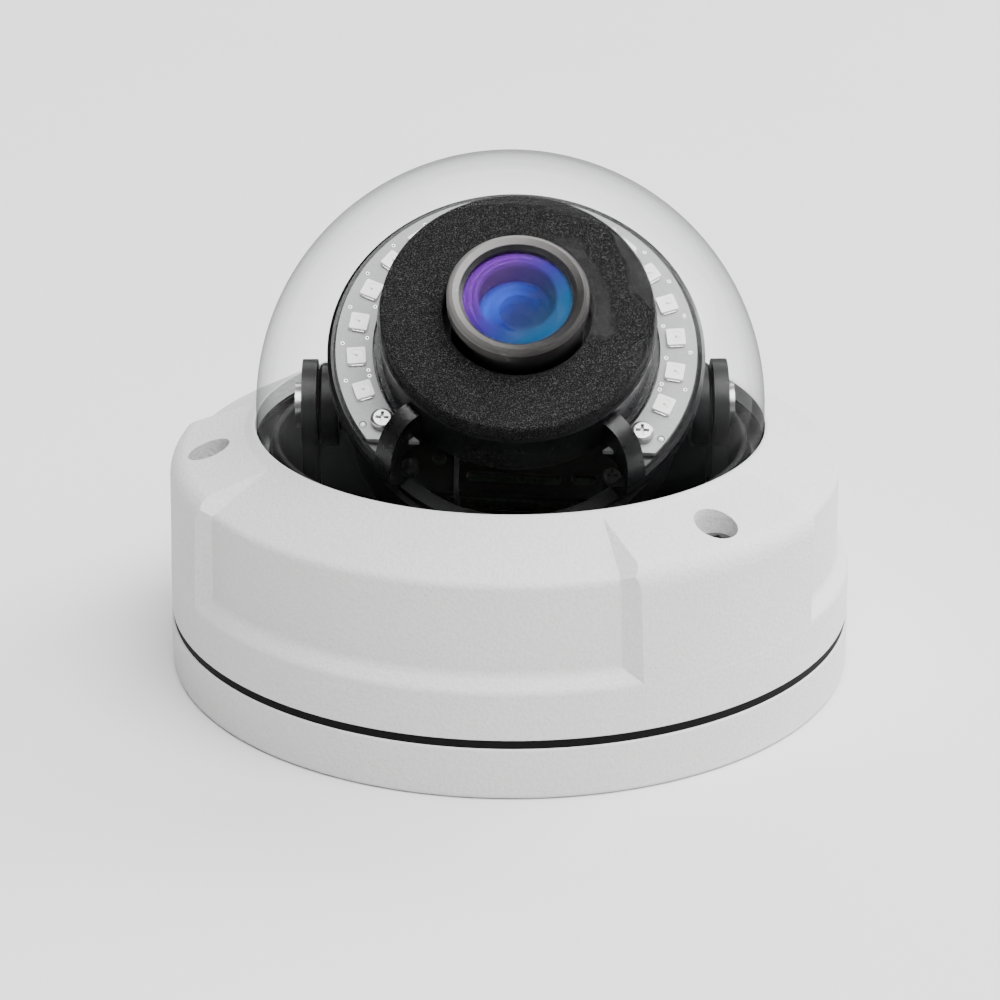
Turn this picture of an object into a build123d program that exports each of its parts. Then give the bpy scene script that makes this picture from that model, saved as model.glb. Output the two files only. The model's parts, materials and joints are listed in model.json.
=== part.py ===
from build123d import *
from math import asin, cos, degrees, radians, sin, sqrt
import os

os.makedirs("parts", exist_ok=True)

# Vandal-resistant dome camera. Millimetres, +Z up, origin at the centre of the base's
# mounting face. The camera looks towards -Y at rest.

# ---------------------------------------------------------------- driving dimensions
BASE_R = 70.0  # outer radius of base and cover flange
BASE_H = 10.5
FLOOR = 3.0
BASE_BORE = 64.0
SEAL_H = 1.8
COVER_Z = BASE_H + SEAL_H  # underside of the cover

SCREW_AZIMUTH = -50.8  # direction of the first screw pad, from +X
SCREW_CIRCLE = 61.2
PAD_HALF_ANGLE = 18.2  # flat part of a screw pad
RAMP_HALF_ANGLE = 21.4  # foot of its sloping sides

DOME_R = 51.4
DOME_WALL = 2.5
DOME_Z = 52.9  # centre of the spherical part
OPENING_R = 51.66
CLAMP_EAR_R = 57.6

LINER_R = 46.8
LINER_WALL = 1.5

PAN_X = 0.9  # the gimbal sits a little to the right of the dome's axis
PAN_REST = 1.0
LENS_ELEVATION = 50.2
ROLL_REST = -3.4

HEAD_R = 30.5  # cylinder that turns in the tilt ring
HEAD_WALL = 1.5
RIM_R = 37.1
RIM_D = 21.6  # distances along the lens axis are measured from the pivot
SHROUD_R = 26.5
FOAM_FRONT = 36.4
LED_CIRCLE = 31.35
ARM_IN = 39.8
ARM_T = 3.0

RUN = 0.06  # radial clearance of a turning fit
GAP = 0.3  # clearance between loose curved faces

# ---------------------------------------------------------------- reference planes
pan_x_dir = (cos(radians(PAN_REST)), sin(radians(PAN_REST)), 0)
lens_dir = (
    sin(radians(PAN_REST)) * cos(radians(LENS_ELEVATION)),
    -cos(radians(PAN_REST)) * cos(radians(LENS_ELEVATION)),
    sin(radians(LENS_ELEVATION)),
)
pivot = (PAN_X, 0, DOME_Z)

yoke_plane = Plane(origin=(PAN_X, 0, 0), x_dir=pan_x_dir, z_dir=(0, 0, 1))
tilt_plane = Plane(origin=pivot, x_dir=pan_x_dir, z_dir=lens_dir)  # faces along the lens
roll_x_dir = tilt_plane.x_dir * cos(radians(ROLL_REST)) + tilt_plane.y_dir * sin(radians(ROLL_REST))
head_plane = Plane(origin=pivot, x_dir=roll_x_dir, z_dir=lens_dir)
head_section = Plane(origin=pivot, x_dir=head_plane.x_dir, z_dir=-head_plane.y_dir)
lens_axis = Axis(pivot, lens_dir)
hub_plane = Plane(origin=pivot, x_dir=tilt_plane.y_dir, z_dir=pan_x_dir)  # faces along the hinge


def annulus(outer, inner):
    """Ring-shaped face in the sketch being drawn."""
    Circle(outer)
    Circle(inner, mode=Mode.SUBTRACT)


# ================================================================= base
base_posts = PolarLocations(SCREW_CIRCLE, 3, SCREW_AZIMUTH)
WALL_HOLE_CIRCLE = 57.0
WALL_HOLE_R = 2.6
CABLE_Y = 46.0
CABLE_HOLE_R = 7.5
LEG_CIRCLE = 38.0
LEG_TOP = 11.5
BOARD_Z = 6.0
BOARD_CIRCLE = 25.0
POST_R = 4.6
LEG_R = 3.6
PILLAR_R = 3.0
WALL_BOSS_R = 6.0
WALL_BOSS_H = 1.6
COVER_SCREW_R = 2.0
GIMBAL_SCREW_R = 1.3
BOARD_SCREW_R = 1.1

with BuildPart() as base_housing:
    with BuildSketch():
        Circle(BASE_R)
    extrude(amount=BASE_H)
    fillet(base_housing.edges().group_by(Axis.Z)[0], 1.0)
    fillet(base_housing.edges().group_by(Axis.Z)[-1], 0.4)
    with BuildSketch(Plane.XY.offset(FLOOR)):
        Circle(BASE_BORE)
    extrude(amount=BASE_H, mode=Mode.SUBTRACT)
    with BuildSketch(Plane.XY.offset(FLOOR)):
        with base_posts:
            Circle(POST_R)
    extrude(amount=COVER_Z - 0.1 - FLOOR)
    with BuildSketch(Plane.XY.offset(FLOOR)):
        with PolarLocations(WALL_HOLE_CIRCLE, 3, SCREW_AZIMUTH + 60):
            Circle(WALL_BOSS_R)
    extrude(amount=WALL_BOSS_H)
    with BuildSketch(yoke_plane.offset(FLOOR)):
        with PolarLocations(LEG_CIRCLE, 3, -90):
            Circle(LEG_R)
    extrude(amount=LEG_TOP - FLOOR)
    with BuildSketch(Plane.XY.offset(FLOOR)):
        with PolarLocations(BOARD_CIRCLE, 3, 30):
            Circle(PILLAR_R)
    extrude(amount=BOARD_Z - FLOOR)
    # Threaded holes for the cover, the gimbal base and the main board
    with BuildSketch(Plane.XY.offset(FLOOR + 1)):
        with base_posts:
            Circle(COVER_SCREW_R + RUN)
    extrude(amount=COVER_Z, mode=Mode.SUBTRACT)
    with BuildSketch(yoke_plane.offset(FLOOR + 1)):
        with PolarLocations(LEG_CIRCLE, 3, -90):
            Circle(GIMBAL_SCREW_R)
    extrude(amount=LEG_TOP, mode=Mode.SUBTRACT)
    with BuildSketch(Plane.XY.offset(FLOOR)):
        with PolarLocations(BOARD_CIRCLE, 3, 30):
            Circle(BOARD_SCREW_R)
    extrude(amount=BOARD_Z, mode=Mode.SUBTRACT)
    # Ceiling screw holes and cable entry
    with BuildSketch():
        with PolarLocations(WALL_HOLE_CIRCLE, 3, SCREW_AZIMUTH + 60):
            Circle(WALL_HOLE_R)
        with Locations((0, CABLE_Y)):
            Circle(CABLE_HOLE_R)
    extrude(amount=BASE_H, mode=Mode.SUBTRACT)
base_housing.part.label = "base_housing"
export_step(base_housing.part, "parts/base_housing.step")

SEAL_INSET = 0.4

with BuildPart() as base_seal:
    with BuildSketch(Plane.XY.offset(BASE_H)):
        annulus(BASE_R - SEAL_INSET, SCREW_CIRCLE + POST_R + 0.2)
    extrude(amount=SEAL_H)
base_seal.part.label = "base_seal"
export_step(base_seal.part, "parts/base_seal.step")

CABLE_R = 3.1
GROMMET_BOTTOM = 0.4
GROMMET_FLANGE = 1.6
GROMMET_LIP = 2.0  # how far the flange reaches past the hole

with BuildPart() as cable_grommet:
    with BuildSketch(Plane.XY.offset(GROMMET_BOTTOM)):
        with Locations((0, CABLE_Y)):
            Circle(CABLE_HOLE_R)
    extrude(amount=FLOOR - GROMMET_BOTTOM)
    with BuildSketch(Plane.XY.offset(FLOOR)):
        with Locations((0, CABLE_Y)):
            Circle(CABLE_HOLE_R + GROMMET_LIP)
    extrude(amount=GROMMET_FLANGE)
    fillet(cable_grommet.edges().group_by(Axis.Z)[-1], 0.6)
    with Locations((0, CABLE_Y, FLOOR)):
        Hole(CABLE_R)
cable_grommet.part.label = "cable_grommet"
export_step(cable_grommet.part, "parts/cable_grommet.step")

# ================================================================= main board
BOARD_R = 31.0
BOARD_T = 1.6

with BuildPart() as main_board:
    with BuildSketch(Plane.XY.offset(BOARD_Z)):
        Circle(BOARD_R)
        Circle(6.5, mode=Mode.SUBTRACT)
        with Locations((0, BOARD_R + 6)):
            Rectangle(30, 20, mode=Mode.SUBTRACT)
        with PolarLocations(BOARD_CIRCLE, 3, 30):
            Circle(1.2, mode=Mode.SUBTRACT)
    extrude(amount=BOARD_T)
main_board.part.label = "main_board"
export_step(main_board.part, "parts/main_board.step")

with BuildPart() as board_screws:
    with BuildSketch(Plane.XY.offset(BOARD_Z + BOARD_T)):
        with PolarLocations(BOARD_CIRCLE, 3, 30):
            Circle(2.2)
    extrude(amount=1.3)
    with BuildSketch(Plane.XY.offset(FLOOR + 0.2)):
        with PolarLocations(BOARD_CIRCLE, 3, 30):
            Circle(BOARD_SCREW_R)
    extrude(amount=BOARD_Z + BOARD_T - FLOOR - 0.2)
board_screws.part.label = "board_screws"
export_step(board_screws.part, "parts/board_screws.step")

with BuildPart() as board_connectors:
    with BuildSketch(Plane.XY.offset(BOARD_Z + BOARD_T)):
        with Locations((0, 17)):
            Rectangle(18, 5.5)
        with Locations((-17, -8), (-17, 4)):
            Rectangle(5, 9)
    extrude(amount=2.9)
    with BuildSketch(Plane.XY.offset(BOARD_Z + BOARD_T + 1)):
        with Locations((0, 17)):
            Rectangle(16, 3.5)
        with Locations((-17, -8), (-17, 4)):
            Rectangle(3, 7)
    extrude(amount=4, mode=Mode.SUBTRACT)
board_connectors.part.label = "board_connectors"
export_step(board_connectors.part, "parts/board_connectors.step")

with BuildPart() as board_chips:
    with BuildSketch(Plane.XY.offset(BOARD_Z + BOARD_T)):
        with Locations((15, -6)):
            Rectangle(11, 11)
        with Locations((2, -19), (14, 8)):
            Rectangle(7, 5)
    extrude(amount=1.4)
board_chips.part.label = "board_chips"
export_step(board_chips.part, "parts/board_chips.step")

# ================================================================= pan bearing
PAN_BASE_T = 2.0
HUB_R = 10.0
WIRE_HOLE_R = 7.0
WASHER_T = 0.4
PLATFORM_T = 2.4
pan_base_top = LEG_TOP + PAN_BASE_T
platform_z = pan_base_top + WASHER_T
platform_top = platform_z + PLATFORM_T
retainer_z = platform_top + GAP

with BuildPart() as pan_base:
    with BuildSketch(yoke_plane.offset(LEG_TOP)):
        Circle(42)
        with PolarLocations(26, 3, 90):
            SlotOverall(22, 9, rotation=90, mode=Mode.SUBTRACT)
    extrude(amount=PAN_BASE_T)
    with BuildSketch(yoke_plane.offset(pan_base_top)):
        Circle(HUB_R)
    extrude(amount=retainer_z + 0.8 - pan_base_top)
    with BuildSketch(yoke_plane.offset(LEG_TOP)):
        Circle(WIRE_HOLE_R)
        with PolarLocations(LEG_CIRCLE, 3, -90):
            Circle(1.5)
    extrude(amount=PAN_BASE_T * 4, mode=Mode.SUBTRACT)
pan_base.part.label = "pan_base"
export_step(pan_base.part, "parts/pan_base.step")

with BuildPart() as pan_base_screws:
    with BuildSketch(yoke_plane.offset(FLOOR + 1.2)):
        with PolarLocations(LEG_CIRCLE, 3, -90):
            Circle(GIMBAL_SCREW_R)
    extrude(amount=pan_base_top - FLOOR - 1.2)
    with BuildSketch(yoke_plane.offset(pan_base_top)):
        with PolarLocations(LEG_CIRCLE, 3, -90):
            Circle(2.4)
    extrude(amount=0.35)
pan_base_screws.part.label = "pan_base_screws"
export_step(pan_base_screws.part, "parts/pan_base_screws.step")

with BuildPart() as pan_washer:
    with BuildSketch(yoke_plane.offset(pan_base_top)):
        annulus(20, 12)
    extrude(amount=WASHER_T)
pan_washer.part.label = "pan_washer"
export_step(pan_washer.part, "parts/pan_washer.step")

with BuildPart() as pan_retainer:
    with BuildSketch(yoke_plane.offset(retainer_z)):
        annulus(14, HUB_R)
    extrude(amount=0.8)
pan_retainer.part.label = "pan_retainer"
export_step(pan_retainer.part, "parts/pan_retainer.step")

# ================================================================= yoke
ARM_W = 14.0
HUB_DISC_R = 9.3
FOOT_T = 2.2
FOOT_IN = 32.0
PIVOT_R = 3.0
PLATFORM_R = 43.3
ARM_SCREW_R = 1.2
arm_screw_spots = [(side * 36, y) for side in (-1, 1) for y in (4, -4)]

with BuildPart() as pan_platform:
    with BuildSketch(yoke_plane.offset(platform_z)):
        Circle(PLATFORM_R)
        with Locations((0, 48), (0, -48)):
            Rectangle(90, 30, mode=Mode.SUBTRACT)
        Circle(HUB_R + RUN, mode=Mode.SUBTRACT)
        with Locations((0, 24), (0, -24)):
            SlotOverall(34, 6, mode=Mode.SUBTRACT)
        with Locations(arm_screw_spots):
            Circle(ARM_SCREW_R, mode=Mode.SUBTRACT)
    extrude(amount=PLATFORM_T)
pan_platform.part.label = "pan_platform"
export_step(pan_platform.part, "parts/pan_platform.step")

arm_height = DOME_Z - platform_top
for side, name in ((-1, "yoke_arm_left"), (1, "yoke_arm_right")):
    with BuildPart() as yoke_arm:
        arm_face = hub_plane.offset(side * ARM_IN)
        upright = Plane(origin=arm_face.origin, x_dir=yoke_plane.y_dir, z_dir=yoke_plane.x_dir)
        with BuildSketch(upright):
            Circle(HUB_DISC_R)
            with Locations((0, -arm_height / 2)):
                Rectangle(ARM_W, arm_height)
        extrude(amount=side * ARM_T)
        with BuildSketch(yoke_plane.offset(platform_top)):
            with Locations((side * (ARM_IN + FOOT_IN) / 2, 0)):
                Rectangle(ARM_IN - FOOT_IN, ARM_W)
        extrude(amount=FOOT_T)
        with BuildSketch(Plane(origin=(PAN_X, 0, platform_top), x_dir=pan_x_dir, z_dir=-yoke_plane.y_dir)):
            with BuildLine():
                Polyline(
                    (side * 34, 0),
                    (side * ARM_IN, 0),
                    (side * ARM_IN, 9),
                    (side * 34, FOOT_T),
                    close=True,
                )
            make_face()
        extrude(amount=1.0, both=True)
        with BuildSketch(upright):
            Circle(PIVOT_R + RUN)
            with Locations((0, -22)):
                SlotOverall(12, 5, rotation=90)
        extrude(amount=side * ARM_T, mode=Mode.SUBTRACT)
        with BuildSketch(yoke_plane.offset(platform_top)):
            with Locations(arm_screw_spots):
                Circle(ARM_SCREW_R + 0.1)
        extrude(amount=FOOT_T, mode=Mode.SUBTRACT)
    yoke_arm.part.label = name
    export_step(yoke_arm.part, f"parts/{name}.step")

with BuildPart() as arm_screws:
    with BuildSketch(yoke_plane.offset(platform_z + 0.2)):
        with Locations(arm_screw_spots):
            Circle(ARM_SCREW_R)
    extrude(amount=PLATFORM_T + FOOT_T - 0.2)
    with BuildSketch(yoke_plane.offset(platform_top + FOOT_T)):
        with Locations(arm_screw_spots):
            Circle(2.1)
    extrude(amount=1.3)
arm_screws.part.label = "arm_screws"
export_step(arm_screws.part, "parts/arm_screws.step")

# ================================================================= tilt ring
RING_HALF = 5.5
RING_R = 33.5
BOSS_R = 5.4
BOSS_END = 35.5
HUB_END = 39.3

with BuildPart() as tilt_ring:
    with BuildSketch(tilt_plane.offset(-RING_HALF)):
        Circle(RING_R)
    extrude(amount=2 * RING_HALF)
    with BuildSketch(hub_plane):
        Circle(BOSS_R)
    extrude(amount=BOSS_END, both=True)
    with BuildSketch(tilt_plane.offset(-RING_HALF)):
        Circle(HEAD_R + GAP)
    extrude(amount=2 * RING_HALF, mode=Mode.SUBTRACT)
    with BuildSketch(hub_plane):
        Circle(PIVOT_R)
    extrude(amount=BOSS_END, both=True, mode=Mode.SUBTRACT)
tilt_ring.part.label = "tilt_ring"
export_step(tilt_ring.part, "parts/tilt_ring.step")

for side, name in ((-1, "tilt_hub_left"), (1, "tilt_hub_right")):
    with BuildPart() as tilt_hub:
        with BuildSketch(hub_plane.offset(side * BOSS_END)):
            annulus(8.5, PIVOT_R)
        extrude(amount=side * (HUB_END - BOSS_END))
        chamfer(tilt_hub.edges().filter_by(GeomType.CIRCLE).sort_by(SortBy.RADIUS)[-2:], 0.5)
    tilt_hub.part.label = name
    export_step(tilt_hub.part, f"parts/{name}.step")

with BuildPart() as tilt_washers:
    for side in (-1, 1):
        with BuildSketch(hub_plane.offset(side * HUB_END)):
            annulus(7.2, PIVOT_R)
        extrude(amount=side * (ARM_IN - HUB_END))
tilt_washers.part.label = "tilt_washers"
export_step(tilt_washers.part, "parts/tilt_washers.step")

PIVOT_START = 31.2
PIVOT_HEAD_R = 4.6
pivot_head_x = ARM_IN + ARM_T + 0.1

with BuildPart() as tilt_screws:
    for side in (-1, 1):
        with BuildSketch(hub_plane.offset(side * PIVOT_START)):
            Circle(PIVOT_R)
        extrude(amount=side * (pivot_head_x - PIVOT_START))
        with BuildSketch(hub_plane.offset(side * pivot_head_x)):
            Circle(PIVOT_HEAD_R)
        extrude(amount=side * 1.4)
        with BuildSketch(hub_plane.offset(side * (pivot_head_x + 0.4))):
            Rectangle(5.0, 0.9)
            Rectangle(0.9, 5.0)
        extrude(amount=side * 1.2, mode=Mode.SUBTRACT)
tilt_screws.part.label = "tilt_screws"
export_step(tilt_screws.part, "parts/tilt_screws.step")

# ================================================================= head shells
COLLAR_R = 32.3
COLLAR_D = 5.8
SHELL_SPLIT = 18.6
BACK_D = -26.0
SEAT_D = -7.4
WINDOW_D = 7.6  # the access window below the lens starts in front of the collar
PLATE_HALF_X = 23.2
PLATE_HALF_Y = 20.8
PLATE_SCREW = (20.2, 16.0)
PLATE_T = 1.6
plate_corners = GridLocations(2 * PLATE_SCREW[0], 2 * PLATE_SCREW[1], 2, 2)
ball_r = HEAD_R
ball_in = HEAD_R - 2.0


with BuildSketch() as window_outline:
    # Access window below the lens; its sides curve out to the rim
    with BuildLine():
        left_side = ThreePointArc((-17.3, -20.0), (-21.3, -24.2), (-22.8, -29.3))
        right_side = ThreePointArc((17.3, -20.0), (21.3, -24.2), (22.8, -29.3))
        Line(left_side @ 0, right_side @ 0)
        Polyline(left_side @ 1, (-22.8, -40), (22.8, -40), right_side @ 1)
    make_face()

with BuildSketch() as rib_outlines:
    # Ribs that close the ends of the LED tray, one each side of the window
    for side in (-1, 1):
        with BuildLine():
            inner = ThreePointArc((side * 17.3, -20.0), (side * 21.3, -24.2), (side * 22.8, -29.3))
            outer = ThreePointArc((side * 19.9, -17.5), (side * 24.2, -22.0), (side * 26.0, -26.4))
            Line(inner @ 0, outer @ 0)
            Line(inner @ 1, outer @ 1)
        make_face()

with BuildPart() as shell_cavity:
    with BuildSketch(head_section):
        with BuildLine():
            start_angle = degrees(asin((BACK_D + 1.6) / ball_in))
            ball_arc = CenterArc((0, 0), ball_in, start_angle, degrees(asin(-5 / ball_in)) - start_angle)
            Polyline(
                ball_arc @ 1,
                (HEAD_R - HEAD_WALL, -4),
                (HEAD_R - HEAD_WALL, 6.6),
                (RIM_R - 1.6, 17.4),
                (RIM_R - 1.6, SHELL_SPLIT),
                (0, SHELL_SPLIT),
                (0, BACK_D + 1.6),
                ball_arc @ 0,
            )
        make_face()
    revolve(axis=lens_axis)
    # Four columns that carry the module plate stay solid
    with BuildSketch(head_plane.offset(-PLATE_T)):
        with plate_corners:
            Circle(2.7)
    extrude(amount=BACK_D, mode=Mode.SUBTRACT)
    with BuildSketch(head_plane.offset(-PLATE_T)):
        with plate_corners:
            Circle(1.0)
    extrude(amount=-6)

with BuildPart() as head_rear_shell:
    with BuildSketch(head_section):
        with BuildLine():
            start_angle = degrees(asin(BACK_D / ball_r))
            ball_arc = CenterArc((0, 0), ball_r, start_angle, degrees(asin(SEAT_D / ball_r)) - start_angle)
            Polyline(
                ball_arc @ 1,
                ((ball_arc @ 1).X, -COLLAR_D),
                (HEAD_R, -COLLAR_D),
                (HEAD_R, COLLAR_D),
                (COLLAR_R, COLLAR_D),
                (COLLAR_R, 8.2),
                (RIM_R, 17.2),
                (RIM_R, SHELL_SPLIT),
                (0, SHELL_SPLIT),
                (0, BACK_D),
                ball_arc @ 0,
            )
        make_face()
    revolve(axis=lens_axis)
    add(shell_cavity.part, mode=Mode.SUBTRACT)
    with BuildSketch(head_plane.offset(WINDOW_D)):
        add(window_outline.sketch)
    extrude(amount=20, mode=Mode.SUBTRACT)
    with BuildSketch(head_plane.offset(BACK_D)):
        Circle(6)
    extrude(amount=4, mode=Mode.SUBTRACT)
head_rear_shell.part.label = "head_rear_shell"
export_step(head_rear_shell.part, "parts/head_rear_shell.step")

with BuildPart() as roll_retainer:
    with BuildSketch(head_plane.offset(SEAT_D)):
        annulus(COLLAR_R, sqrt(ball_r**2 - SEAT_D**2))
    extrude(amount=-COLLAR_D - SEAT_D)
roll_retainer.part.label = "roll_retainer"
export_step(roll_retainer.part, "parts/roll_retainer.step")

TRAY_D = 19.4  # floor that carries the LED board
LED_BOARD_D = 20.8
LED_BOARD_T = 1.4
led_face = LED_BOARD_D + LED_BOARD_T
LED_SCREW_R = 1.2
led_screw_spots = [(25.05, -18.0), (-25.05, -18.0)]

with BuildPart() as head_front_shell:
    with BuildSketch(head_section):
        with BuildLine():
            Polyline(
                (SHROUD_R, TRAY_D),
                (RIM_R - 1.6, TRAY_D),
                (RIM_R - 1.6, SHELL_SPLIT),
                (RIM_R, SHELL_SPLIT),
                (RIM_R, RIM_D - 0.7),
                (RIM_R - 0.7, RIM_D),
                (RIM_R - 1.4, RIM_D - 0.2),
                (RIM_R - 1.4, LED_BOARD_D),
                (SHROUD_R + 1.1, LED_BOARD_D),
                (SHROUD_R + 1.1, 22.4),
                (SHROUD_R, 22.4),
                close=True,
            )
        make_face()
    revolve(axis=lens_axis)
    with BuildSketch(head_plane.offset(SHELL_SPLIT)):
        add(rib_outlines.sketch)
    extrude(amount=11)
    with BuildSketch(head_section):
        with BuildLine():
            brow = ThreePointArc((SHROUD_R - 1, 29.2), (33.4, 26.6), (RIM_R, RIM_D))
            Polyline(brow @ 1, (45, RIM_D), (45, 40), (SHROUD_R - 1, 40), brow @ 0)
        make_face()
    revolve(axis=lens_axis, mode=Mode.SUBTRACT)
    with BuildSketch(head_plane.offset(SHELL_SPLIT - 1)):
        add(window_outline.sketch)
        Circle(SHROUD_R)
    extrude(amount=20, mode=Mode.SUBTRACT)
    with BuildSketch(head_plane.offset(TRAY_D)):
        with Locations(led_screw_spots):
            Circle(LED_SCREW_R)
    extrude(amount=LED_BOARD_D - TRAY_D, mode=Mode.SUBTRACT)
head_front_shell.part.label = "head_front_shell"
export_step(head_front_shell.part, "parts/head_front_shell.step")

# ================================================================= LED ring
TRAY_END_Y = -22.0  # the board stops short of the ribs
LED_PITCH = 14.34
LOWEST_LED = -21.6
TOP_LEDS = 7
highest_side_led = LOWEST_LED + 4 * LED_PITCH
top_pitch = (180 - 2 * highest_side_led) / (TOP_LEDS + 1)
side_leds = [LOWEST_LED + LED_PITCH * k for k in range(5)]
top_leds = [highest_side_led + top_pitch * (k + 1) for k in range(TOP_LEDS)]
led_angles = side_leds + top_leds + [180 - angle for angle in side_leds]
LED_SIZE = 3.6
LED_H = 0.9
LED_WINDOW_R = 1.25
LED_WINDOW_DEPTH = 0.25
led_peg_spots = [(28.75, -18.9), (-28.75, -18.9)]

with BuildPart() as led_board:
    with BuildSketch(head_plane.offset(LED_BOARD_D)):
        annulus(35.4, 28.2)
        with Locations((0, -30 + TRAY_END_Y)):
            Rectangle(80, 60, mode=Mode.SUBTRACT)
        add(rib_outlines.sketch, mode=Mode.SUBTRACT)
        with Locations(led_peg_spots):
            Circle(0.75, mode=Mode.SUBTRACT)
        with Locations(led_screw_spots):
            Circle(LED_SCREW_R, mode=Mode.SUBTRACT)
    extrude(amount=LED_BOARD_T)
led_board.part.label = "led_board"
export_step(led_board.part, "parts/led_board.step")

with BuildPart() as infrared_leds:
    for angle in led_angles:
        with BuildSketch(head_plane.offset(led_face)):
            with PolarLocations(LED_CIRCLE, 1, angle):
                RectangleRounded(LED_SIZE, LED_SIZE, 0.3)
        extrude(amount=LED_H)
        with BuildSketch(head_plane.offset(led_face + LED_H)):
            with PolarLocations(LED_CIRCLE, 1, angle):
                Circle(LED_WINDOW_R)
        extrude(amount=-LED_WINDOW_DEPTH, mode=Mode.SUBTRACT)
infrared_leds.part.label = "infrared_leds"
export_step(infrared_leds.part, "parts/infrared_leds.step")

with BuildPart() as led_lenses:
    for angle in led_angles:
        with BuildSketch(head_plane.offset(led_face + LED_H - LED_WINDOW_DEPTH)):
            with PolarLocations(LED_CIRCLE, 1, angle):
                Circle(LED_WINDOW_R)
        extrude(amount=0.2)
led_lenses.part.label = "led_lenses"
export_step(led_lenses.part, "parts/led_lenses.step")

with BuildPart() as led_board_screws:
    with BuildSketch(head_plane.offset(TRAY_D + 0.1)):
        with Locations(led_screw_spots):
            Circle(LED_SCREW_R)
    extrude(amount=led_face - TRAY_D - 0.1)
    with BuildSketch(head_plane.offset(led_face)):
        with Locations(led_screw_spots):
            Circle(2.25)
    extrude(amount=1.7)
    fillet(led_board_screws.edges().group_by(lens_axis)[-1], 0.7)
    with BuildSketch(head_plane.offset(led_face + 0.7)):
        with Locations(led_screw_spots):
            Rectangle(2.6, 0.6)
            Rectangle(0.6, 2.6)
    extrude(amount=2, mode=Mode.SUBTRACT)
led_board_screws.part.label = "led_board_screws"
export_step(led_board_screws.part, "parts/led_board_screws.step")

# ================================================================= lens shroud and foam
SHROUD_WALL = 1.8
SHROUD_BACK = 21.0
FOAM_T = 3.9
FOAM_R = 26.4
LENS_HOLE_R = 14.4
foam_back = FOAM_FRONT - FOAM_T

with BuildPart() as lens_shroud:
    with BuildSketch(head_section):
        with BuildLine():
            Polyline(
                (SHROUD_R, SHROUD_BACK),
                (SHROUD_R, foam_back - 1.2),
                (SHROUD_R + 0.5, foam_back - 0.9),
                (SHROUD_R + 0.5, foam_back),
                (LENS_HOLE_R + 0.3, foam_back),
                (LENS_HOLE_R + 0.3, foam_back - 1.6),
                (SHROUD_R - SHROUD_WALL, foam_back - 1.6),
                (SHROUD_R - SHROUD_WALL, SHROUD_BACK),
                close=True,
            )
        make_face()
    revolve(axis=lens_axis)
lens_shroud.part.label = "lens_shroud"
export_step(lens_shroud.part, "parts/lens_shroud.step")

with BuildPart() as foam_ring:
    with BuildSketch(head_plane.offset(foam_back)):
        annulus(FOAM_R, LENS_HOLE_R)
    extrude(amount=FOAM_T)
    front_rims = foam_ring.edges().filter_by(GeomType.CIRCLE).group_by(lens_axis)[-1]
    fillet(front_rims, 0.5)
foam_ring.part.label = "foam_ring"
export_step(foam_ring.part, "parts/foam_ring.step")

# ================================================================= module plate and sensor
NECK_R = 9.2
SLOT_W = 2.4

with BuildPart() as module_plate:
    with BuildSketch(head_plane.offset(-PLATE_T)) as plate_outline:
        Rectangle(2 * PLATE_HALF_X, 2 * PLATE_HALF_Y)
        chamfer(plate_outline.vertices(), 4.8)
        Circle(NECK_R + 0.1, mode=Mode.SUBTRACT)
        with plate_corners:
            Circle(1.1, mode=Mode.SUBTRACT)
        with Locations((0.6, -16.9), (0.6, 16.9)):
            SlotOverall(19, SLOT_W, mode=Mode.SUBTRACT)
        with Locations((14.6, -16.6), (-14.6, 16.6)):
            SlotOverall(5, SLOT_W, mode=Mode.SUBTRACT)
        with Locations((-14.5, -13.4)):
            Circle(1.4, mode=Mode.SUBTRACT)
    extrude(amount=PLATE_T)
module_plate.part.label = "module_plate"
export_step(module_plate.part, "parts/module_plate.step")

with BuildPart() as plate_screws:
    with BuildSketch(head_plane.offset(-5)):
        with plate_corners:
            Circle(1.0)
    extrude(amount=5)
    with BuildSketch(head_plane):
        with plate_corners:
            Circle(1.9)
    extrude(amount=1.3)
    fillet(plate_screws.edges().group_by(lens_axis)[-1], 0.5)
    with BuildSketch(head_plane.offset(0.6)):
        with plate_corners:
            Rectangle(2.2, 0.5)
            Rectangle(0.5, 2.2)
    extrude(amount=1, mode=Mode.SUBTRACT)
plate_screws.part.label = "plate_screws"
export_step(plate_screws.part, "parts/plate_screws.step")

SENSOR_BOARD_D = -8.0
SENSOR_BOARD_T = 1.4
sensor_face = SENSOR_BOARD_D + SENSOR_BOARD_T

with BuildPart() as lens_mount:
    with BuildSketch(head_plane.offset(sensor_face)):
        RectangleRounded(24, 24, 2)
        Circle(7.6, mode=Mode.SUBTRACT)
    extrude(amount=-PLATE_T - sensor_face)
    with BuildSketch(head_plane.offset(-3.0)):
        Circle(NECK_R)
    extrude(amount=3, mode=Mode.SUBTRACT)
lens_mount.part.label = "lens_mount"
export_step(lens_mount.part, "parts/lens_mount.step")

with BuildPart() as sensor_board:
    with BuildSketch(head_plane.offset(SENSOR_BOARD_D)) as board_outline:
        Rectangle(36, 36)
        chamfer(board_outline.vertices(), 4.5)
    extrude(amount=SENSOR_BOARD_T)
sensor_board.part.label = "sensor_board"
export_step(sensor_board.part, "parts/sensor_board.step")

with BuildPart() as image_sensor:
    with BuildSketch(head_plane.offset(sensor_face)):
        Rectangle(9.0, 9.0)
    extrude(amount=1.3)
image_sensor.part.label = "image_sensor"
export_step(image_sensor.part, "parts/image_sensor.step")

with BuildPart() as infrared_filter:
    with BuildSketch(head_plane.offset(-4.4)):
        Circle(7.6)
    extrude(amount=0.7)
infrared_filter.part.label = "infrared_filter"
export_step(infrared_filter.part, "parts/infrared_filter.step")

PROCESSOR_D = -16.0

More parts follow.
